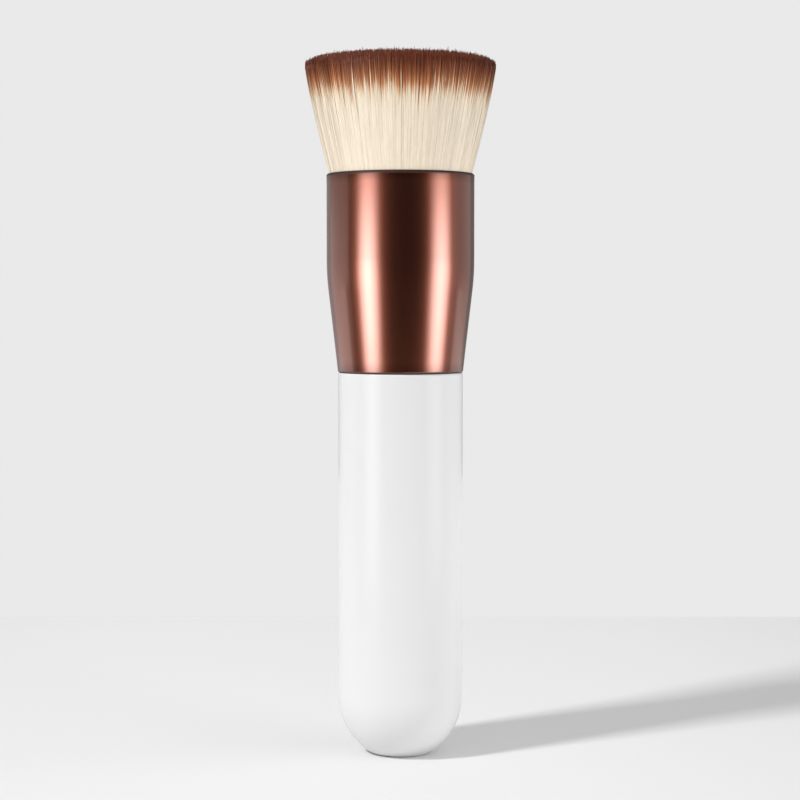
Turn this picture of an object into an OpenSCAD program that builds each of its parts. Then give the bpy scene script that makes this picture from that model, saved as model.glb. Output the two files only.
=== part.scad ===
// Flat-top kabuki makeup brush, standing on the flat of its handle.
// Millimetres. The origin is the centre of that flat and +Z runs up the brush.
// Every piece is turned about the Z axis, apart from the bundle of filaments.

/* [Handle] */
// Diameter of the straight handle
handle_d = 23.5; // [20:0.1:26]
// Height of the handle from the table to the ferrule
handle_len = 71.8; // [50:0.1:110]
// Radius of the big round at the lower end
end_round = 12.8; // [11:0.1:16]
// Diameter of the flat that the brush stands on
base_flat_d = 11; // [6:0.1:14]
// Radius of the soft edge round that flat
base_edge = 1; // [0.3:0.1:2]
// Radius of the edge next to the ferrule
shoulder_edge = 0.3; // [0.1:0.05:0.5]

/* [Tenon] */
// Height of the tenon that the handle has inside the ferrule
tenon_len = 13; // [9:0.1:15]
// Gap for resin between the tenon and the lower end of the ferrule
tenon_gap = 0.2; // [0.1:0.05:0.6]
// Number of resin grooves round the tenon
groove_count = 3; // [1:1:4]
// Width of a resin groove
groove_w = 1.4; // [0.6:0.1:1.8]
// Depth of a resin groove
groove_depth = 0.6; // [0.2:0.1:1.5]
// Bevel at the top of the tenon
tenon_bevel = 0.9; // [0.3:0.1:1.5]
// Height of tenon that stands clear of the resin, bevel and all
tenon_dry = 1.6; // [1.5:0.1:3]

/* [Ferrule] */
// Diameter of the ferrule's straight upper part
ferrule_d = 27.7; // [26.5:0.1:30]
// Length of the ferrule
ferrule_len = 37.1; // [32:0.1:48]
// Length of the tapered lower part, up to the middle of the knee
taper_len = 18.2; // [14:0.1:20]
// Radius of the soft knee between taper and straight part
knee_round = 45; // [10:1:60]
// Thickness of the metal
ferrule_wall = 0.55; // [0.4:0.05:0.8]
// Radius of the outer edge at both ends
rim_round = 0.4; // [0.1:0.05:0.4]

/* [Knot ring] */
// Depth of the ring's top below the mouth of the ferrule
ring_depth = 5.3; // [4:0.1:8]
// Gap between the ring and the ferrule
ring_gap = 0.1; // [0.05:0.01:0.2]
// How far the ring's bottom lip reaches inwards
lip_reach = 1.2; // [0.5:0.1:2.5]
// Height of that lip
lip_h = 1.2; // [0.6:0.1:2.5]
// Bevel round the ring's lower outer edge
ring_bevel = 0.5; // [0.2:0.1:0.7]
// Thickness of the resin under the ring
resin_floor = 1.5; // [0.8:0.1:3]

/* [Bristles] */
// Length of the filaments above the ferrule
free_len = 21.1; // [16:0.1:30]
// Diameter of the flat top of the tuft
top_d = 35.4; // [32:0.1:42]
// Diameter of the tuft at its belly
belly_d = 31.4; // [29.5:0.1:34]
// Height of the belly above the ferrule
belly_h = 9.4; // [7:0.1:13]
// Gap between the tuft and what it passes
hair_gap = 0.1; // [0.05:0.01:0.2]
// Thickness of the slice of bonded roots under the strands
root_slice = 2; // [1:0.1:4]
// Strands across the tuft, the square of which is their number
strands_across = 21; // [18:1:22]
// Share of its cell that a strand fills at the belly
belly_fill = 0.92; // [0.8:0.01:0.96]
// Share of its cell that a strand fills at its tip
tip_fill = 0.74; // [0.5:0.01:0.9]
// Most that one strand ends below the longest
tip_uneven = 0.7; // [0:0.1:2]
// How much lower the strands end at the edge of the flat top
edge_drop = 0.6; // [0:0.1:2]
// How far off the middle of its cell a strand may rise, 1 being all the way to the side
stray = 0.7; // [0:0.05:0.9]

/* [Hidden] */

// Sides of a full turn
$fn = 180;
// Reach of the blocks that only cut, past anything that they cut
past = 1;
// An arc stands this far proud of a sloping line or another arc that it runs into, and
// its slice goes on for so many degrees inside the body, so that the two always cross
proud = 0.001;
lap = 40;
knee_lap = 2;
tip_seed = 11;
stray_seed = 23;

handle_r = handle_d / 2;
flat_r = base_flat_d / 2;
ferrule_r = ferrule_d / 2;
belly_r = belly_d / 2;
top_r = top_d / 2;

// Heights of what meets along the brush
z_knee = handle_len + taper_len;
z_mouth = handle_len + ferrule_len;
z_ring_top = z_mouth - ring_depth;
z_belly = z_mouth + belly_h;
z_top = z_mouth + free_len;

// Centre of the big round, which touches the handle's side and the base edge
round_x = handle_r - end_round;
round_reach = end_round - base_edge + proud;
round_z = base_edge + sqrt(pow(round_reach, 2) - pow(flat_r - round_x, 2));
round_from = atan2(base_edge - round_z, flat_r - round_x);

// The ferrule's taper, its wall measured level, and the tenon that enters it
taper_angle = atan2(ferrule_r - handle_r, taper_len);
taper_wall = ferrule_wall / cos(taper_angle);
tenon_r = handle_r - taper_wall - tenon_gap;
groove_pitch = (tenon_len - tenon_dry) / groove_count;

// The knee's arcs share one centre, and start and end this far from its middle
knee_reach = knee_round * tan(taper_angle / 2);
knee_x = ferrule_r - knee_round;
z_knee_top = z_knee + knee_reach;

// The ring's outside slides in the ferrule, and it stands at the top of the knee.
// Its bore lets the filaments fan out in straight lines to the mouth and the belly.
bore_r = ferrule_r - ferrule_wall;
ring_r = bore_r - ring_gap;
mouth_hair_r = bore_r - hair_gap;
fan = (belly_r - mouth_hair_r) / belly_h;
root_r = mouth_hair_r - fan * ring_depth;
ring_bore_r = root_r + hair_gap;
z_slice = z_ring_top - root_slice;
z_resin = z_knee_top - resin_floor;

// Unit vector at an angle
function toward(angle) = [cos(angle), sin(angle)];

// Slice of a disc between two angles, up to 110 degrees apart, that gives a section a true arc.
// Only what lies on the side of the axis that is turned is kept.
module slice(centre, r, from, to) {
    intersection() {
        translate(centre) circle(r);
        polygon([centre, centre + 2 * r * toward(from), centre + 2 * r * toward(to)]);
        translate([0, -past]) square([ferrule_d, z_top + past]);
    }
}

// Points down one side of the tenon, from the shoulder up, into each groove and out
function tenon_edge() = concat(
    [[tenon_r, handle_len]],
    [for (k = [0:groove_count - 1])
        let (z = handle_len + groove_pitch * (k + 0.5) - groove_w / 2)
        each [
            [tenon_r, z],
            [tenon_r - groove_depth, z],
            [tenon_r - groove_depth, z + groove_w],
            [tenon_r, z + groove_w]
        ]],
    [[tenon_r, handle_len + tenon_len - tenon_bevel],
     [tenon_r - tenon_bevel, handle_len + tenon_len]]);

// Half section of the handle, with its round end, its shoulder and its tenon
module handle_section() {
    round_foot = [round_x, round_z];
    flat_edge = [flat_r, base_edge];
    shoulder = [handle_r - shoulder_edge, handle_len - shoulder_edge];
    polygon(concat([
        [0, 0],
        [flat_r, 0],
        flat_edge + base_edge / 2 * [1, -1],
        [flat_r + base_edge / 2, round_z],
        [handle_r, round_z],
        [handle_r, shoulder.y],
        [shoulder.x, handle_len]
    ], tenon_edge(), [[0, handle_len + tenon_len]]));
    slice(flat_edge, base_edge, -90, min(0, round_from + lap));
    slice(round_foot, end_round, round_from, 0);
    slice(shoulder, shoulder_edge, 0, 90);
}

// End of the taper at the ferrule's knee, for a body drawn in by inset from its outside
function taper_end(inset) =
    [knee_x, z_knee_top] + (knee_round - inset - proud) * toward(-taper_angle);

// Arc of the knee, for a body drawn in by inset from the ferrule's outside
module knee(inset) {
    slice([knee_x, z_knee_top], knee_round - inset, -taper_angle - knee_lap, 0);
}

// Half section of the ferrule's outside. Its lower edge is rounded between the level rim
// and the taper, and its upper edge between the side and the level rim.
module sleeve_section() {
    low = [handle_r + rim_round * (tan(taper_angle) - 1 / cos(taper_angle)),
           handle_len + rim_round];
    high = [ferrule_r - rim_round, z_mouth - rim_round];
    polygon([
        [0, handle_len],
        [low.x, handle_len],
        low + (rim_round - proud) * toward(-taper_angle),
        taper_end(0),
        [ferrule_r, z_knee_top],
        [ferrule_r, high.y],
        [high.x, z_mouth],
        [0, z_mouth]
    ]);
    slice(low, rim_round, -90, lap / 2);
    knee(0);
    slice(high, rim_round, 0, 90);
}

// Half section of the space inside the ferrule, from below its end to above its mouth
module bore_section() {
    low_x = handle_r - taper_wall - past * tan(taper_angle) - proud / cos(taper_angle);
    polygon([
        [0, handle_len - past],
        [low_x, handle_len - past],
        taper_end(ferrule_wall),
        [bore_r, z_knee_top],
        [bore_r, z_mouth + past],
        [0, z_mouth + past]
    ]);
    knee(ferrule_wall);
}

// Part of a half section between two heights
module between(low, high) {
    intersection() {
        children();
        translate([0, low]) square([ferrule_r, high - low]);
    }
}

// White gloss handle, one turned solid
module handle() {
    color("whitesmoke") rotate_extrude() handle_section();
}

// Copper brown metal sleeve: straight above, tapered below, thin all along
module ferrule() {
    color("sienna") rotate_extrude() difference() {
        sleeve_section();
        bore_section();
    }
}

// Collar that gathers the roots, with a lip below that keys the resin in
module knot_ring() {
    color("dimgray") rotate_extrude() polygon([
        [ring_bore_r - lip_reach, z_knee_top],
        [ring_r - ring_bevel, z_knee_top],
        [ring_r, z_knee_top + ring_bevel],
        [ring_r, z_ring_top],
        [ring_bore_r, z_ring_top],
        [ring_bore_r, z_knee_top + lip_h],
        [ring_bore_r - lip_reach, z_knee_top + lip_h]
    ]);
}

// Cured resin that fills the ring below the filaments and spreads under it to the ferrule
module root_resin() {
    color("burlywood") rotate_extrude() union() {
        between(z_resin, z_knee_top) bore_section();
        polygon([
            [0, z_knee_top],
            [ring_bore_r - lip_reach, z_knee_top],
            [ring_bore_r - lip_reach, z_knee_top + lip_h],
            [ring_bore_r, z_knee_top + lip_h],
            [ring_bore_r, z_slice],
            [0, z_slice]
        ]);
    }
}

// Cured resin between the tenon and the ferrule, keyed into the tenon's grooves
module tenon_resin() {
    color("goldenrod") rotate_extrude() difference() {
        between(handle_len, handle_len + tenon_len - tenon_dry) bore_section();
        handle_section();
    }
}

// A square grid laid over the round tuft: each cell is the foot of one strand.
// The square's rings become circles, and all cells keep the same area.
function on_disc(a, b) =
    a == 0 && b == 0 ? [0, 0]
    : abs(a) > abs(b) ? a * [cos(45 * b / a), sin(45 * b / a)]
    : b * [sin(45 * a / b), cos(45 * a / b)];

function grid_pt(i, j) =
    on_disc(2 * i / strands_across - 1, 2 * j / strands_across - 1);

// Corners of cell i, j, in order round it
function cell(i, j) =
    [grid_pt(i, j), grid_pt(i + 1, j), grid_pt(i + 1, j + 1), grid_pt(i, j + 1)];

// Point inside a cell, u and v of the way across it
function inside(c, u, v) =
    (1 - u) * (1 - v) * c[0] + u * (1 - v) * c[1] + u * v * c[2] + (1 - u) * v * c[3];

// Cell drawn in to its filled share about a core, spread to radius r and set at height z
function strand_ring(c, core, fill, r, z) =
    [for (p = c)
        let (q = core + fill * (p - core))
        [r * q.x, r * q.y, z]];

// Radius and filled share at the height z of a tip, on the line from belly to top
function above_belly(z, low, high) =
    low + (high - low) * (z - z_belly) / (z_top - z_belly);

// All the strands and the slice of bonded roots below them, as one closed skin.
// Neighbouring strands share the edges of their feet, and part from there upwards.
module bristles() {
    n = strands_across;
    last = n * n - 1;
    uneven = rands(0, 1, n * n, tip_seed);
    aside = rands(0.5 - stray / 2, 0.5 + stray / 2, 2 * n * n, stray_seed);
    cells = [for (j = [0:n - 1]) for (i = [0:n - 1]) cell(i, j)];
    cores = [for (s = [0:last]) inside(cells[s], aside[2 * s], aside[2 * s + 1])];
    tips = [for (s = [0:last])
        z_top - tip_uneven * uneven[s] - edge_drop * pow(norm(cores[s]), 8)];

    feet = [for (j = [0:n]) for (i = [0:n])
        let (p = grid_pt(i, j)) [root_r * p.x, root_r * p.y, z_ring_top]];
    bellies = [for (s = [0:last])
        each strand_ring(cells[s], cores[s], belly_fill, belly_r, z_belly)];
    ends = [for (s = [0:last])
        each strand_ring(cells[s], cores[s],
            above_belly(tips[s], belly_fill, tip_fill),
            above_belly(tips[s], belly_r, top_r),
            tips[s])];

    // The rim of the grid, in order round the tuft
    rim = concat(
        [for (i = [0:n - 1]) i],
        [for (j = [0:n - 1]) j * (n + 1) + n],
        [for (i = [n:-1:1]) n * (n + 1) + i],
        [for (j = [n:-1:1]) j * (n + 1)]);
    under = [for (k = rim) [feet[k].x, feet[k].y, z_slice]];

    // Where each list of points starts in the list of them all
    belly_0 = len(feet);
    end_0 = belly_0 + len(bellies);
    under_0 = end_0 + len(ends);
    centre = under_0 + len(under);

    // The two triangles of a wall between a lower edge p, q and the upper edge over it
    function wall(p, q, over_p, over_q) = [[p, over_p, over_q], [p, over_q, q]];

    strand_faces = [for (j = [0:n - 1]) for (i = [0:n - 1])
        let (
            foot = [j * (n + 1) + i, j * (n + 1) + i + 1,
                    (j + 1) * (n + 1) + i + 1, (j + 1) * (n + 1) + i],
            belly = belly_0 + 4 * (j * n + i),
            end = end_0 + 4 * (j * n + i)
        )
        each concat(
            [for (k = [0:3]) let (m = (k + 1) % 4)
                each wall(foot[k], foot[m], belly + k, belly + m)],
            [for (k = [0:3]) let (m = (k + 1) % 4)
                each wall(belly + k, belly + m, end + k, end + m)],
            [[end, end + 2, end + 1], [end, end + 3, end + 2]])];
    slice_faces = [for (k = [0:len(rim) - 1])
        let (m = (k + 1) % len(rim))
        each concat(
            wall(under_0 + k, under_0 + m, rim[k], rim[m]),
            [[centre, under_0 + k, under_0 + m]])];

    color("linen") polyhedron(
        points = concat(feet, bellies, ends, under, [[0, 0, z_slice]]),
        faces = concat(strand_faces, slice_faces));
}

handle();
ferrule();
knot_ring();
root_resin();
tenon_resin();
bristles();
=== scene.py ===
import math

import bpy
import numpy as np
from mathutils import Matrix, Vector


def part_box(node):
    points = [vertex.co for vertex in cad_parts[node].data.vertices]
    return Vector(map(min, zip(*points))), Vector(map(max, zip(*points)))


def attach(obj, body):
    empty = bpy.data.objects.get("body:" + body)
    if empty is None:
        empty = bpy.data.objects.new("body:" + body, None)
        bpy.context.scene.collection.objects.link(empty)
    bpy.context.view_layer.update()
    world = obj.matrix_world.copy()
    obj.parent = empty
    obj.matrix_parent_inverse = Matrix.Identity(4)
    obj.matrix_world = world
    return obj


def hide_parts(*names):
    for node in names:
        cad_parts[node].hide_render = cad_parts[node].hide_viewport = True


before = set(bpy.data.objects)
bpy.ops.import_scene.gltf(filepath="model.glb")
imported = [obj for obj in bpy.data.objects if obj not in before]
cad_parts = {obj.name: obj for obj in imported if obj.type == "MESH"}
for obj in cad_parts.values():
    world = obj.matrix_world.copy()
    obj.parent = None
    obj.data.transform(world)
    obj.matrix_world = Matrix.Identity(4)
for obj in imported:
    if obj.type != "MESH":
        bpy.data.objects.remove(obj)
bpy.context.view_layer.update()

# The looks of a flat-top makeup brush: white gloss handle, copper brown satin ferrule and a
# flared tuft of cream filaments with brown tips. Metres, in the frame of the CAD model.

MM = 0.001
MICRON = 1e-6


# Heights that the CAD nodes give
FERRULE_LOW, FERRULE_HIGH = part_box("ferrule")
_, RING_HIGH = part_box("knot_ring")
TUFT_LOW, TUFT_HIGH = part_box("bristles")
Z_JOINT = FERRULE_LOW.z
Z_MOUTH = FERRULE_HIGH.z
Z_RING_TOP = RING_HIGH.z
Z_SLICE = TUFT_LOW.z
Z_TOP = TUFT_HIGH.z


def add_object(name, data):
    """A new object in the scene, made of a mesh, a lamp or a camera."""
    new = bpy.data.objects.new(name, data)
    bpy.context.scene.collection.objects.link(new)
    return new


def add_mesh(name, points, faces, material):
    """A new object with these points and faces, all of one material."""
    mesh = bpy.data.meshes.new(name)
    mesh.from_pydata(points, [], faces)
    mesh.materials.append(material)
    return add_object(name, mesh)


# Camera: its pitch in degrees, and its lens and sensor in millimetres

CAMERA_AT = (-0.09 * MM, -375.8 * MM, 85.75 * MM)
CAMERA_PITCH_DOWN = 2.92
CAMERA_LENS = 90
CAMERA_SENSOR = 36
CAMERA_NEAREST = 10 * MM


def make_camera():
    data = bpy.data.cameras.new("camera")
    data.lens = CAMERA_LENS
    data.sensor_width = CAMERA_SENSOR
    data.clip_start = CAMERA_NEAREST
    camera = add_object("camera", data)
    camera.location = CAMERA_AT
    camera.rotation_euler = (math.radians(90 - CAMERA_PITCH_DOWN), 0, 0)
    bpy.context.scene.camera = camera


# Material helpers

# Sockets of the node that mixes two colours, by number because their names repeat
MIX_FACTOR, MIX_LOW, MIX_HIGH = 0, 6, 7
MIX_RESULT = 2


def connect(tree, inputs, values):
    """Links each input, given by name or number, to its socket, or sets it to its constant."""
    for name, value in values.items():
        if isinstance(value, bpy.types.NodeSocket):
            tree.links.new(value, inputs[name])
        else:
            inputs[name].default_value = value


def add(tree, kind, values, **settings):
    """A new node with these settings and these values at its inputs."""
    node = tree.nodes.new(kind)
    for name, value in settings.items():
        setattr(node, name, value)
    connect(tree, node.inputs, values)
    return node


def calculate(tree, operation, *values):
    """Result of a math node on values given in the order of its inputs."""
    node = add(tree, "ShaderNodeMath", dict(enumerate(values)), operation=operation)
    return node.outputs["Value"]


def remap(tree, value, start, end, smooth=False):
    """The value carried from one range to another, each a pair, and held at their ends."""
    node = add(tree, "ShaderNodeMapRange", {
        "Value": value,
        "From Min": start[0], "From Max": start[1],
        "To Min": end[0], "To Max": end[1],
    }, interpolation_type="SMOOTHSTEP" if smooth else "LINEAR")
    return node.outputs["Result"]


def ramp(tree, value, stops):
    """Colour at the value, from stops that run from position 0 to position 1."""
    node = add(tree, "ShaderNodeValToRGB", {"Fac": value})
    points = node.color_ramp.elements
    for position, _ in stops[1:-1]:
        points.new(position)
    for point, (_, colour) in zip(points, stops):
        point.color = (*colour, 1)
    return node.outputs["Color"]


def opaque(colour):
    """The colour with full alpha, or the socket that gives it."""
    return colour if isinstance(colour, bpy.types.NodeSocket) else (*colour, 1)


def mix(tree, factor, low, high):
    """Colour between low and high; each is a colour or a socket."""
    node = add(tree, "ShaderNodeMix", {
        MIX_FACTOR: factor, MIX_LOW: opaque(low), MIX_HIGH: opaque(high),
    }, data_type="RGBA")
    return node.outputs[MIX_RESULT]


def noise(tree, place, scale, detail, rough=0.5):
    """Noise round 0.5; the scale is in features a metre, or a unit of the place."""
    node = add(tree, "ShaderNodeTexNoise", {
        "Vector": place, "Scale": scale, "Detail": detail, "Roughness": rough,
    })
    return node.outputs["Fac"]


def cell_distance(tree, place, scale):
    """Distance from the middle of the nearest of many round cells."""
    node = add(tree, "ShaderNodeTexVoronoi", {"Vector": place, "Scale": scale})
    return node.outputs["Distance"]


def stretched(tree, place, factors):
    """The place with its axes multiplied, so that a pattern there is drawn out."""
    node = add(tree, "ShaderNodeMapping", {"Vector": place, "Scale": factors})
    return node.outputs["Vector"]


def split(tree, vector):
    """The vector's X, Y and Z."""
    node = add(tree, "ShaderNodeSeparateXYZ", {"Vector": vector})
    return node.outputs["X"], node.outputs["Y"], node.outputs["Z"]


def bump(tree, height, depth):
    """Normal of a surface that rises by the depth as the height goes from 0 to 1."""
    node = add(tree, "ShaderNodeBump", {"Height": height, "Distance": depth})
    return node.outputs["Normal"]


def linear(red, green, blue):
    """Linear colour of an sRGB colour given from 0 to 255."""
    return tuple(
        c / 12.92 if c <= 0.04045 else ((c + 0.055) / 1.055) ** 2.4
        for c in (red / 255, green / 255, blue / 255)
    )


def new_material(name):
    """An empty material: its node tree, its shader and its coordinates in the object's frame."""
    material = bpy.data.materials.new(name)
    material.use_nodes = True
    tree = material.node_tree
    shader = tree.nodes["Principled BSDF"]
    place = tree.nodes.new("ShaderNodeTexCoord").outputs["Object"]
    return material, tree, shader, place


# Materials of the solids

def handle_lacquer():
    """White gloss: a faint orange peel under a clear sheen, with barely uneven white."""
    material, tree, shader, place = new_material("handle_lacquer")
    cloud = noise(tree, place, scale=55, detail=3)
    wiped = noise(tree, stretched(tree, place, (1, 1, 0.25)), scale=420, detail=4, rough=0.6)
    peel = noise(tree, place, scale=650, detail=1)
    connect(tree, shader.inputs, {
        "Base Color": mix(tree, cloud, linear(228, 228, 229), linear(232, 232, 233)),
        "Roughness": remap(tree, wiped, (0.3, 0.7), (0.1, 0.17)),
        "Normal": bump(tree, peel, 4 * MICRON),
        "Specular IOR Level": 0.13,
    })
    return material


# Painted shade at the ferrule's two rims, a dark line at the rims and darker copper beside them,
# up from the joint and down from the mouth: its share there, how far from the rim it begins to
# fall, and how far from the rim it ends
RIM_SHADE_LINE = ((1, 0.1 * MM, 0.5 * MM), (1, 0.3 * MM, 0.7 * MM))
PAINTED_SHADE_ENDS = ((0.5, 0, 2.2 * MM), (0.6, 0.3 * MM, 2 * MM))

# How much of the clear film the painted shade beside the rims takes away, so that its reflection
# darkens too, and how much rougher the dark rim lines are
SHADE_FILM_CUT = 0.6
EDGE_ROUGHER = 0.3


def at_rims(tree, height, joint, mouth):
    """A share that is largest at the ferrule's rims and 0 between them."""
    joint_share, joint_start, joint_end = joint
    mouth_share, mouth_start, mouth_end = mouth
    return calculate(
        tree, "MAXIMUM",
        remap(tree, height, (Z_JOINT + joint_start, Z_JOINT + joint_end), (joint_share, 0)),
        remap(tree, height, (Z_MOUTH - mouth_end, Z_MOUTH - mouth_start), (0, mouth_share)))


def ferrule_metal():
    """Copper brown anodised metal under a clear satin film, with fine turning marks."""
    material, tree, shader, place = new_material("ferrule_metal")
    turned = noise(tree, stretched(tree, place, (0.02, 0.02, 1)), scale=9000, detail=3, rough=0.7)
    cloud = noise(tree, stretched(tree, place, (1, 1, 0.4)), scale=120, detail=3)
    grain = noise(tree, place, scale=6000, detail=2)
    height = split(tree, place)[2]
    # Painted shade: a dark line along both rims, where the ferrule meets the tuft and the handle,
    # and darker copper with less clear film beside them, so that these also mirror less
    edge = at_rims(tree, height, *RIM_SHADE_LINE)
    painted_shade = at_rims(tree, height, *PAINTED_SHADE_ENDS)
    copper = mix(tree, cloud, (0.34, 0.094, 0.05), (0.38, 0.106, 0.057))
    copper = mix(tree, painted_shade, copper, (0.05, 0.016, 0.01))
    satin = remap(tree, grain, (0.2, 0.8), (0.27, 0.31))
    film_cut_for_shade = calculate(tree, "MAXIMUM", edge, calculate(tree, "MULTIPLY", painted_shade, SHADE_FILM_CUT))
    connect(tree, shader.inputs, {
        # The dark rim line is painted shade; it is matt, with no metal and no film, so that no
        # highlight shows there
        "Base Color": mix(tree, edge, copper, (0.018, 0.008, 0.006)),
        "Metallic": calculate(tree, "SUBTRACT", 1, edge),
        "Roughness": calculate(tree, "MULTIPLY_ADD", edge, EDGE_ROUGHER, satin),
        "Specular IOR Level": 0.3,
        "Coat Weight": calculate(tree, "SUBTRACT", 1, film_cut_for_shade),
        "Coat IOR": 1.95,
        "Coat Roughness": 0.15,
        "Normal": bump(tree, turned, 0.6 * MICRON),
    })
    return material


def ring_plastic():
    """Dark moulded collar inside the ferrule, faintly grained."""
    material, tree, shader, place = new_material("ring_plastic")
    grain = noise(tree, place, scale=1800, detail=4, rough=0.65)
    connect(tree, shader.inputs, {
        "Base Color": mix(tree, grain, (0.018, 0.018, 0.02), (0.032, 0.032, 0.034)),
        "Roughness": remap(tree, grain, (0.2, 0.8), (0.5, 0.75)),
        "Normal": bump(tree, grain, 12 * MICRON),
    })
    return material


def cured_resin():
    """Amber resin with small bubbles and a wavy cast surface."""
    material, tree, shader, place = new_material("cured_resin")
    flow = noise(tree, place, scale=160, detail=3)
    bubble = remap(tree, cell_distance(tree, place, scale=900), (0.08, 0.22), (1, 0))
    amber = mix(tree, flow, (0.42, 0.25, 0.075), (0.58, 0.38, 0.14))
    half_bubble = calculate(tree, "MULTIPLY", bubble, 0.5)
    connect(tree, shader.inputs, {
        "Base Color": mix(tree, half_bubble, amber, (0.75, 0.6, 0.36)),
        "Roughness": remap(tree, flow, (0.3, 0.7), (0.22, 0.38)),
        "Normal": bump(tree, calculate(tree, "ADD", flow, bubble), 40 * MICRON),
    })
    return material


def dress(node, material):
    """Gives a CAD node its material."""
    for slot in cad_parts[node].material_slots:
        slot.material = material


# Materials of the tuft

# The filaments' colour depends only on their map. U tells the lot that each filament draws:
# from 0 to 1 lie as many lots, side by side, and a filament fills its lot but for a margin on
# either side. V is 1 where the filament's dye starts, and falls by 1 over MAP_LENGTH.
FILAMENT_MAP = "OFBake"
LOTS = 256
LOT_MARGIN = 0.1
MAP_LENGTH = 30 * MM

# Dyed tip: millimetres below the start of the dye, and the colour there
TIP_COLOURS = [
    (0.0, linear(97, 45, 28)),
    (2.5, linear(118, 61, 37)),
    (4.2, linear(150, 88, 52)),
    (5.8, linear(190, 128, 87)),
    (6.9, linear(231, 197, 161)),
    (8.0, linear(245, 229, 204)),
    (10.8, linear(247, 232, 210)),
]
DYED_MM = TIP_COLOURS[-1][0]

# How far a lot's dye may slide up or down, in millimetres: all lots by up to the first, and
# the few at the ends of the draw by up to the second more
TIP_JITTER = 0.75
TIP_STRAY = 2.2
STRAY_POWER = 5

# Mean shade of the filaments, how far from it the lots' shades lie in the brown and in the
# cream, and the shares of the dyed length between which the one gives way to the other
MEAN_SHADE = 0.99
BROWN_UNEVEN = 0.42
CREAM_UNEVEN = 0.07
UNEVEN_CHANGES = (0.45, 0.75)


def filament():
    """Cream filament with a dyed brown tip; each lot ends its brown at its own height."""
    material, tree, shader, _ = new_material("filament")
    filament_map = add(tree, "ShaderNodeUVMap", {}, uv_map=FILAMENT_MAP)
    across, up, _ = split(tree, filament_map.outputs["UV"])
    lot = calculate(tree, "FLOOR", calculate(tree, "MULTIPLY", across, LOTS))
    below_start = remap(tree, up, (0, 1), (MAP_LENGTH / MM, 0))
    draws = add(tree, "ShaderNodeTexWhiteNoise", {"W": lot}, noise_dimensions="1D")
    slide_draw, shade_draw, gloss_draw = split(tree, draws.outputs["Color"])

    swing = remap(tree, slide_draw, (0, 1), (-1, 1))
    stray = calculate(
        tree, "MULTIPLY", calculate(tree, "POWER", swing, STRAY_POWER), TIP_STRAY)
    slide = calculate(tree, "MULTIPLY_ADD", swing, TIP_JITTER, stray)
    position = calculate(tree, "DIVIDE", calculate(tree, "ADD", below_start, slide), DYED_MM)
    dyed = ramp(tree, position, [(mm / DYED_MM, colour) for mm, colour in TIP_COLOURS])

    uneven = remap(tree, position, UNEVEN_CHANGES, (BROWN_UNEVEN, CREAM_UNEVEN))
    shade = calculate(
        tree, "MULTIPLY_ADD", remap(tree, shade_draw, (0, 1), (-1, 1)), uneven, MEAN_SHADE)
    on_lot = add(tree, "ShaderNodeCombineXYZ", {"X": lot, "Y": below_start}).outputs["Vector"]
    along = remap(tree, noise(tree, on_lot, scale=0.45, detail=2), (0.3, 0.7), (0.94, 1.06))
    shade = calculate(tree, "MULTIPLY", shade, along)
    colour = add(tree, "ShaderNodeVectorMath", {0: dyed, 1: shade}, operation="MULTIPLY")
    connect(tree, shader.inputs, {
        "Base Color": colour.outputs["Vector"],
        "Roughness": remap(tree, gloss_draw, (0, 1), (0.42, 0.6)),
        "Specular IOR Level": 0.22,
    })
    return material


def bonded_roots():
    """Cut ends of the filaments, set in resin."""
    material, tree, shader, place = new_material("bonded_roots")
    end = remap(tree, cell_distance(tree, place, scale=3800), (0.25, 0.45), (1, 0))
    connect(tree, shader.inputs, {
        "Base Color": mix(tree, end, (0.45, 0.3, 0.12), (0.83, 0.74, 0.58)),
        "Roughness": remap(tree, end, (0, 1), (0.3, 0.55)),
        "Normal": bump(tree, end, 20 * MICRON),
    })
    return material


# The tuft: its places and its outline

# The tuft holds FILAMENTS spread over its disc, the last OUTER of them with more rings, and
# a skin of SKIN_LAYERS circles at the edge with SKIN_COUNT filaments each
SEED = 8
FILAMENTS = 15000
OUTER = 4000
SKIN_COUNT = 960
SKIN_LAYERS = 3
GOLDEN_ANGLE = math.pi * (3 - math.sqrt(5))

# Shares of the radius: where the spread ones end, and how far each circle of the skin lies
# inside the one before
SPREAD_TO = 0.975
SKIN_STEP = 0.005

# How far places stray from their pattern: the spread ones in share and in radians, and those
# of the skin as parts of the steps between them, inwards and sideways
SHARE_STRAY = 0.006
ANGLE_STRAY = 0.012
SKIN_SHARE_STRAY = 0.12
SKIN_ANGLE_STRAY = 0.07

# Outline: radii at the roots, in the ferrule's mouth and just above it, how much wider it
# flares, how fast, where at 1 the flare would end at the very top, and a bulge half way
ROOT_R = 11.8 * MM
MOUTH_R = 13.2 * MM
FREE_R = 13.35 * MM
FLARE = 4.4 * MM
FLARE_RATE = 1.07
BULGE = 0.25 * MM


def free_share(z):
    """How much of the free length lies below the heights z, from 0 to 1."""
    return np.clip((z - Z_MOUTH) / (Z_TOP - Z_MOUTH), 0, 1)


def tuft_radius(z):
    """Outer radius of the tuft at the heights z."""
    free = free_share(z)
    above = FREE_R + FLARE * np.minimum(1, FLARE_RATE * free) + BULGE * np.sin(np.pi * free)
    inside = ROOT_R + (MOUTH_R - ROOT_R) * (z - Z_RING_TOP) / (Z_MOUTH - Z_RING_TOP)
    return np.where(z < Z_MOUTH, np.minimum(inside, MOUTH_R), above)


def spread_places(first, count, rng):
    """Places from number first on, of FILAMENTS on a disc: shares of its radius, and angles."""
    order = first + np.arange(count)
    share = np.sqrt((order + 0.5) / FILAMENTS) + rng.normal(0, SHARE_STRAY, count)
    around = order * GOLDEN_ANGLE + rng.normal(0, ANGLE_STRAY, count)
    return np.clip(share, 0, SPREAD_TO), around


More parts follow.
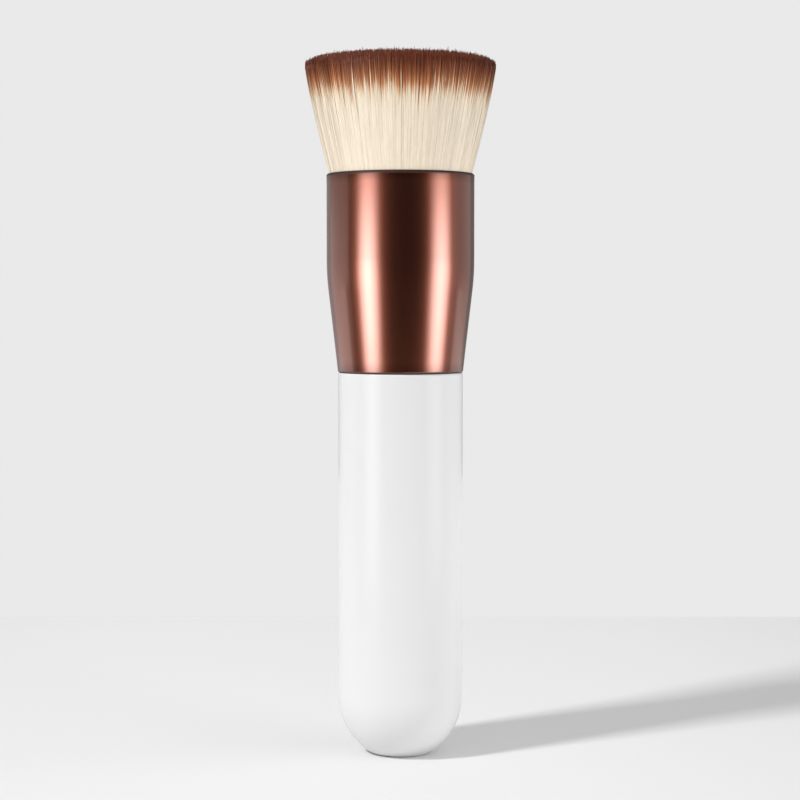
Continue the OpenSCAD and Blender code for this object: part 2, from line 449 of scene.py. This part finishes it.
def skin_places(rng):
    """Places in circles at the edge of the disc, side by side and a little uneven."""
    total = SKIN_LAYERS * SKIN_COUNT
    layer = np.repeat(np.arange(SKIN_LAYERS), SKIN_COUNT)
    step = 2 * np.pi / SKIN_COUNT
    around = step * (np.tile(np.arange(SKIN_COUNT), SKIN_LAYERS) + 0.5 * layer)
    around = around + rng.normal(0, SKIN_ANGLE_STRAY * step, total)
    share = 1 - SKIN_STEP * layer - rng.uniform(0, SKIN_SHARE_STRAY * SKIN_STEP, total)
    return share, around


# The tuft: its filaments

# Cut: how far over the solid tuft's top filaments end and how unevenly, and the share of
# spikes that stick out by so many millimetres more
CUT_ABOVE = 0.3 * MM
CUT_STRAY = 0.15 * MM
SPIKES = 0.03
SPIKE_MM = (0.1, 0.45)

# Round edge of the flat top: its drop, how unevenly it drops, and the power of the radius
# that it grows with
TOP_CORNER = 1.5 * MM
CORNER_STRAY = (0.6, 1.1)
CORNER_POWER = 22

# The line where the brown ends leans down by so much, towards this angle from +X
DIP_LEAN = 0.5 * MM
DIP_TOWARDS = math.radians(-60)

# Wander off a straight line: waves over the free length, the part that is kept of it in and
# out of the tuft, and how far in and out it may then be
WAVES = (0.8, 2.4)
IN_AND_OUT = 0.5
DEEPEST, PROUDEST = -0.1 * MM, 0.05 * MM

# Prisms: their sides, how much closer the rings lie towards the tip, how unevenly wide they
# are, their width at the roots as a share, and the taper to the tip
SIDES = 3
RING_POWER = 1.25
WIDTH_STRAY = (0.8, 1.15)
ROOT_WIDTH = 0.62
TIP_WIDTH = 0.3
TAPER_LENGTH = 5 * MM
TAPER_POWER = 0.8

# How far the prisms are turned at random, in radians: those at the edge, which face out, and
# how much more those inside. The share of the radius to EDGE_POWER tells the edge, where it
# is near 1, from the inside, where it is near 0.
EDGE_TURN = 0.15
INNER_TURN = 3
EDGE_POWER = 8

# How much the normals lean to those of the tuft's own surface, and the stretch at the tips
# where this surface turns up, and by how much
NORMAL_LEAN = 0.9
UP_LENGTH = 1.2 * MM
UP_AT_TIP = 0.7


# Arrays below run over the filaments, then their rings, the rings' corners, and x, y and z

def cut_heights(share, rng):
    """Heights where the filaments would end in a level cut with spikes, and where they do."""
    count = len(share)
    uncut = Z_TOP + CUT_ABOVE - rng.normal(0, CUT_STRAY, count)
    spike = rng.random(count) < SPIKES
    uncut[spike] += rng.uniform(*SPIKE_MM, spike.sum()) * MM
    tip = uncut - TOP_CORNER * rng.uniform(*CORNER_STRAY, count) * share ** CORNER_POWER
    return uncut, tip


def ring_heights(tip, rings):
    """Heights of each filament's rings, closer together near the tip, where it tapers."""
    step = np.linspace(0, 1, rings)
    return Z_RING_TOP + (tip - Z_RING_TOP)[:, None] * (1 - (1 - step) ** RING_POWER)


def centre_lines(places, z, wander_by, rng):
    """Middles of the rings. A filament wanders out and aside, more so towards the tip."""
    share, around = places
    two_each = (2, len(share), 1)
    free = free_share(z)
    wave = rng.uniform(*WAVES, two_each)
    phase = rng.uniform(0, 2 * np.pi, two_each)
    size = rng.normal(0, wander_by, two_each)
    lean = rng.normal(0, wander_by, two_each)
    out, aside = size * np.sin(2 * np.pi * wave * free + phase) * free + lean * free
    radius = tuft_radius(z) * share[:, None] + np.clip(out * IN_AND_OUT, DEEPEST, PROUDEST)
    x = radius * np.cos(around)[:, None] - aside * np.sin(around)[:, None]
    y = radius * np.sin(around)[:, None] + aside * np.cos(around)[:, None]
    return np.stack([x, y, z], axis=-1)


def prism_corners(centres, places, below, thickness, rng):
    """Corners round each ring, drawn in over the last stretch below the tip.

    At the tuft's edge one side of each prism faces out, give or take.
    """
    share, around = places
    count = len(share)
    to_tip = np.clip(below / TAPER_LENGTH, 0, 1) ** TAPER_POWER
    taper = TIP_WIDTH + (1 - TIP_WIDTH) * to_tip
    width = thickness * rng.uniform(*WIDTH_STRAY, count)[:, None] * taper / 2
    width = width * (ROOT_WIDTH + (1 - ROOT_WIDTH) * free_share(centres[:, :, 2]))
    spread = EDGE_TURN + INNER_TURN * (1 - share ** EDGE_POWER)
    turn = around + np.pi + rng.normal(0, 1, count) * spread
    turn = turn[:, None, None] + 2 * np.pi * np.arange(SIDES) / SIDES
    towards = np.stack([np.cos(turn), np.sin(turn), np.zeros_like(turn)], axis=-1)
    return centres[:, :, None] + width[:, :, None, None] * towards


def prism_faces(count, rings):
    """Faces of the prisms: four-sided ones up their sides, and one at each end.

    Gives the numbers of the faces' corners, face by face, and where in them each face starts.
    """
    first = (np.arange(count) * rings * SIDES)[:, None, None, None]
    level = (np.arange(rings - 1) * SIDES)[None, :, None, None]
    corner = np.arange(SIDES)
    after = (corner + 1) % SIDES
    side = np.stack([corner, after, after + SIDES, corner + SIDES], axis=-1)
    walls = (first + level + side).reshape(-1, 4)
    end = np.stack([corner[::-1], (rings - 1) * SIDES + corner])
    ends = (first[:, 0] + end).reshape(-1, SIDES)
    corners = np.concatenate([walls.ravel(), ends.ravel()])
    starts = np.concatenate([
        np.arange(len(walls)) * 4,
        len(walls) * 4 + np.arange(len(ends)) * SIDES,
    ])
    return corners, starts


def map_places(drawn, dyed_from, z):
    """U and V of each corner, from the lot drawn and the height that the dye starts at."""
    within = np.linspace(LOT_MARGIN, 1 - LOT_MARGIN, SIDES)
    lot = (drawn[:, None, None] + within) / LOTS
    height = 1 - (dyed_from[:, None] - z) / MAP_LENGTH
    return np.stack(np.broadcast_arrays(lot, height[:, :, None]), axis=-1)


def unit(vectors):
    """The vectors, each made 1 long."""
    return vectors / np.linalg.norm(vectors, axis=-1, keepdims=True)


def lean_normals(points, centres, places, below):
    """Normals that lean to those of the tuft's surface: out at its side, up at its top."""
    share, around = places
    near_tip = np.clip(1 - below / UP_LENGTH, 0, 1)
    up = np.maximum(1 - share[:, None] ** EDGE_POWER, UP_AT_TIP * near_tip)
    surface = np.stack([
        (1 - up) * np.cos(around)[:, None],
        (1 - up) * np.sin(around)[:, None],
        up,
    ], axis=-1)
    own = unit(points - centres[:, :, None])
    return unit(own * (1 - NORMAL_LEAN) + unit(surface)[:, :, None] * NORMAL_LEAN)


def make_filaments(name, places, rings, thickness, wander_by, rng):
    """Filaments at the given places, as one mesh of thin prisms that taper at the tip."""
    share, around = places
    uncut, tip = cut_heights(share, rng)
    z = ring_heights(tip, rings)
    below = np.maximum(tip[:, None] - z, 0)
    centres = centre_lines(places, z, wander_by, rng)
    points = prism_corners(centres, places, below, thickness, rng)
    drawn = rng.integers(0, LOTS, len(share))
    dyed_from = uncut - DIP_LEAN * np.cos(around - DIP_TOWARDS) * share
    uv = map_places(drawn, dyed_from, z)
    normals = lean_normals(points, centres, places, below)
    corners, starts = prism_faces(len(share), rings)

    mesh = bpy.data.meshes.new(name)
    mesh.vertices.add(points.size // 3)
    mesh.vertices.foreach_set("co", points.ravel())
    mesh.loops.add(len(corners))
    mesh.loops.foreach_set("vertex_index", corners)
    mesh.polygons.add(len(starts))
    mesh.polygons.foreach_set("loop_start", starts)
    mesh.polygons.foreach_set("use_smooth", np.ones(len(starts), bool))
    layer = mesh.uv_layers.new(name=FILAMENT_MAP)
    layer.data.foreach_set("uv", uv.reshape(-1, 2)[corners].ravel())
    mesh.update(calc_edges=True)
    mesh.validate()
    mesh.normals_split_custom_set_from_vertices(normals.reshape(-1, 3).tolist())

    piece = add_object(name, mesh)
    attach(piece, "root")
    return piece


# Rings, thickness and wander of the filaments inside, outside and in the skin
INSIDE = (5, 0.24 * MM, 0.1 * MM)
OUTSIDE = (8, 0.22 * MM, 0.08 * MM)
SKIN = (12, 0.22 * MM, 0.045 * MM)


def make_tuft(material):
    """Filaments inside, with few rings, and outside, with many, and the skin over them."""
    rng = np.random.default_rng(SEED)
    inner = FILAMENTS - OUTER
    half = inner // 2
    core = spread_places(0, half, rng)
    middle = spread_places(half, inner - half, rng)
    outer = spread_places(inner, OUTER, rng)
    pieces = [
        make_filaments("tuft_core", core, *INSIDE, rng),
        make_filaments("tuft_middle", middle, *INSIDE, rng),
        make_filaments("tuft_outer", outer, *OUTSIDE, rng),
        make_filaments("tuft_skin", skin_places(rng), *SKIN, rng),
    ]
    for piece in pieces:
        piece.data.materials.append(material)
    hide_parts("bristles")


# The bonded roots end this far above the ring, so that no filament starts in the air
ROOTS_ABOVE = 0.05 * MM
ROOT_SIDES = 96


def make_roots(material):
    """Closed disc of bonded roots under the filaments."""
    sides = ROOT_SIDES
    rim = [
        (math.cos(2 * math.pi * k / sides), math.sin(2 * math.pi * k / sides))
        for k in range(sides)
    ]
    levels = (Z_SLICE, Z_RING_TOP + ROOTS_ABOVE)
    points = [(ROOT_R * c, ROOT_R * s, z) for z in levels for c, s in rim]
    faces = [tuple(reversed(range(sides))), tuple(range(sides, 2 * sides))]
    faces += [(k, (k + 1) % sides, sides + (k + 1) % sides, sides + k) for k in range(sides)]
    piece = add_mesh("root_slice", points, faces, material)
    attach(piece, "root")


# Stage and light

# Directions are seen from AIM, in the brush: degrees left of the camera's side, where less
# than 0 is right, and degrees up
AIM = Vector((0, 0, 90 * MM))
LAMP_DISTANCE = 1200 * MM
SOFT_BOX_DISTANCE = 300 * MM
FLAG_DISTANCE = 1500 * MM
FLAG_STEPS = 16
FELT_UNEVEN = 0.1

# Shares of a soft box's half width and half height over which it glows fully
FULL_ACROSS = 0.05
FULL_ALONG = 0.45

# Half the floor's side, and how far it lies below the brush, so that the two don't touch
FLOOR_REACH = 159 * MM
FLOOR_BELOW = 0.01 * MM

# Grey of the world where it is seen or mirrored, and where it lights
WORLD_SEEN = 0.82
WORLD_LIGHT = 0.51

# Flags, the cards round the brush: start and end to the left, lower and upper edge, and grey
FLAGS = [
    ("flag_front", -45, 35, -32, 28, 0.015),
    ("card_left_near", 67, 88, -26, 20, 0.08),
    ("card_left_low", 88, 97, -26, -7, 0.3),
    ("card_left_far", 88, 140, -7, 3, 0.76),
    ("card_left_high", 88, 140, 3, 20, 0.34),
    ("card_left_back", 140, 168, -6.5, 20, 0.42),
    ("card_right_low", -104, -82, -26, -7, 0.4),
    ("card_right_far", -140, -82, -7, 20, 0.52),
    ("card_right_back", -168, -140, -6.5, 20, 0.22),
]


def direction(left, up):
    """Unit vector that points away from the brush."""
    a, e = math.radians(left), math.radians(up)
    return Vector((-math.sin(a) * math.cos(e), -math.cos(a) * math.cos(e), math.sin(e)))


def reach(distance, degrees):
    """Half the length that takes up this angle at this distance."""
    return distance * math.tan(math.radians(degrees / 2))


def face_brush(thing, left, up, distance):
    """Puts a lamp or a card in its direction, with its face to the brush."""
    away = direction(left, up)
    thing.location = AIM + distance * away
    thing.rotation_mode = "QUATERNION"
    thing.rotation_quaternion = away.to_track_quat("Z", "Y")


def make_lamp(name, left, up, width, height, radiance, glossy=True):
    """Soft lamp; its width and height are angles, and one not glossy leaves no highlight."""
    wide = 2 * reach(LAMP_DISTANCE, width)
    high = 2 * reach(LAMP_DISTANCE, height)
    data = bpy.data.lights.new(name, "AREA")
    data.shape = "RECTANGLE"
    data.size, data.size_y = wide, high
    data.energy = radiance * math.pi * wide * high
    lamp = add_object(name, data)
    face_brush(lamp, left, up, LAMP_DISTANCE)
    lamp.visible_glossy = glossy
    lamp.visible_camera = False


def glow_material(name, half_wide, half_high, radiance):
    """Glow that is full in the middle of a card and falls smoothly to its edges."""
    material, tree, shader, place = new_material(name)
    x, y, _ = split(tree, place)
    across = calculate(tree, "ABSOLUTE", x)
    along = calculate(tree, "ABSOLUTE", y)
    glow = calculate(
        tree, "MULTIPLY",
        remap(tree, across, (FULL_ACROSS * half_wide, half_wide), (1, 0), smooth=True),
        remap(tree, along, (FULL_ALONG * half_high, half_high), (1, 0), smooth=True))
    connect(tree, shader.inputs, {
        "Base Color": (0, 0, 0, 1),
        "Specular IOR Level": 0,
        "Emission Color": (1, 1, 1, 1),
        "Emission Strength": calculate(tree, "MULTIPLY", glow, radiance),
    })
    return material


def make_soft_box(name, left, up, width, height, radiance):
    """Glowing card near the brush, seen only in gloss; its width and height are angles."""
    x = reach(SOFT_BOX_DISTANCE, width)
    y = reach(SOFT_BOX_DISTANCE, height)
    points = [(-x, -y, 0), (x, -y, 0), (x, y, 0), (-x, y, 0)]
    box = add_mesh(name, points, [(0, 1, 2, 3)], glow_material(name, x, y, radiance))
    face_brush(box, left, up, SOFT_BOX_DISTANCE)
    box.visible_camera = False
    box.visible_diffuse = False
    box.visible_shadow = False


def felt_material(name, grey):
    """Matt grey felt, a little uneven."""
    material, tree, shader, place = new_material(name)
    felt = noise(tree, place, scale=300, detail=3)
    connect(tree, shader.inputs, {
        "Base Color": mix(
            tree, felt, (grey * (1 - FELT_UNEVEN),) * 3, (grey * (1 + FELT_UNEVEN),) * 3),
        "Roughness": 0.95,
        "Specular IOR Level": 0,
    })
    return material


def make_flag(name, left_from, left_to, low, high, grey):
    """Curved card round the brush that darkens what its gloss mirrors; cameras don't see it."""
    points = []
    for k in range(FLAG_STEPS + 1):
        left = left_from + (left_to - left_from) * k / FLAG_STEPS
        level = AIM + FLAG_DISTANCE * direction(left, 0)
        for up in (low, high):
            rise = FLAG_DISTANCE * math.tan(math.radians(up))
            points.append((level.x, level.y, level.z + rise))
    faces = [(2 * k, 2 * k + 1, 2 * k + 3, 2 * k + 2) for k in range(FLAG_STEPS)]
    flag = add_mesh(name, points, faces, felt_material(name, grey))
    flag.visible_camera = False
    flag.visible_diffuse = False


def floor_material():
    """Light table top, barely clouded."""
    material, tree, shader, place = new_material("floor")
    cloud = noise(tree, place, scale=9, detail=4)
    connect(tree, shader.inputs, {
        "Base Color": mix(tree, cloud, (0.81, 0.81, 0.81), (0.83, 0.83, 0.83)),
        "Roughness": 0.5,
        "Specular IOR Level": 0.2,
    })
    return material


def make_floor():
    r, z = FLOOR_REACH, -FLOOR_BELOW
    points = [(-r, -r, z), (r, -r, z), (r, r, z), (-r, r, z)]
    floor = add_mesh("floor", points, [(0, 1, 2, 3)], floor_material())


def make_world():
    world = bpy.data.worlds.new("world")
    world.use_nodes = True
    tree = world.node_tree
    path = tree.nodes.new("ShaderNodeLightPath").outputs
    seen = calculate(tree, "MAXIMUM", path["Is Camera Ray"], path["Is Glossy Ray"])
    grey = mix(tree, seen, (WORLD_LIGHT,) * 3, (WORLD_SEEN,) * 3)
    tree.links.new(grey, tree.nodes["Background"].inputs["Color"])
    bpy.context.scene.world = world


def make_studio():
    make_world()
    make_floor()
    make_soft_box("soft_box_left", left=51, up=-6.5, width=46, height=31, radiance=6.5)
    make_soft_box("soft_box_right", left=-64.8, up=-6.5, width=47, height=31, radiance=5.5)
    make_lamp("key", left=57, up=42, width=7, height=7, radiance=148)
    make_lamp("fill_right", left=-72, up=10, width=60, height=50, radiance=1.7, glossy=False)
    for flag in FLAGS:
        make_flag(*flag)


bpy.context.scene.view_settings.view_transform = "Standard"
make_camera()
make_studio()

resin = cured_resin()
dress("handle", handle_lacquer())
dress("ferrule", ferrule_metal())
dress("knot_ring", ring_plastic())
dress("root_resin", resin)
dress("tenon_resin", resin)
make_tuft(filament())
make_roots(bonded_roots())
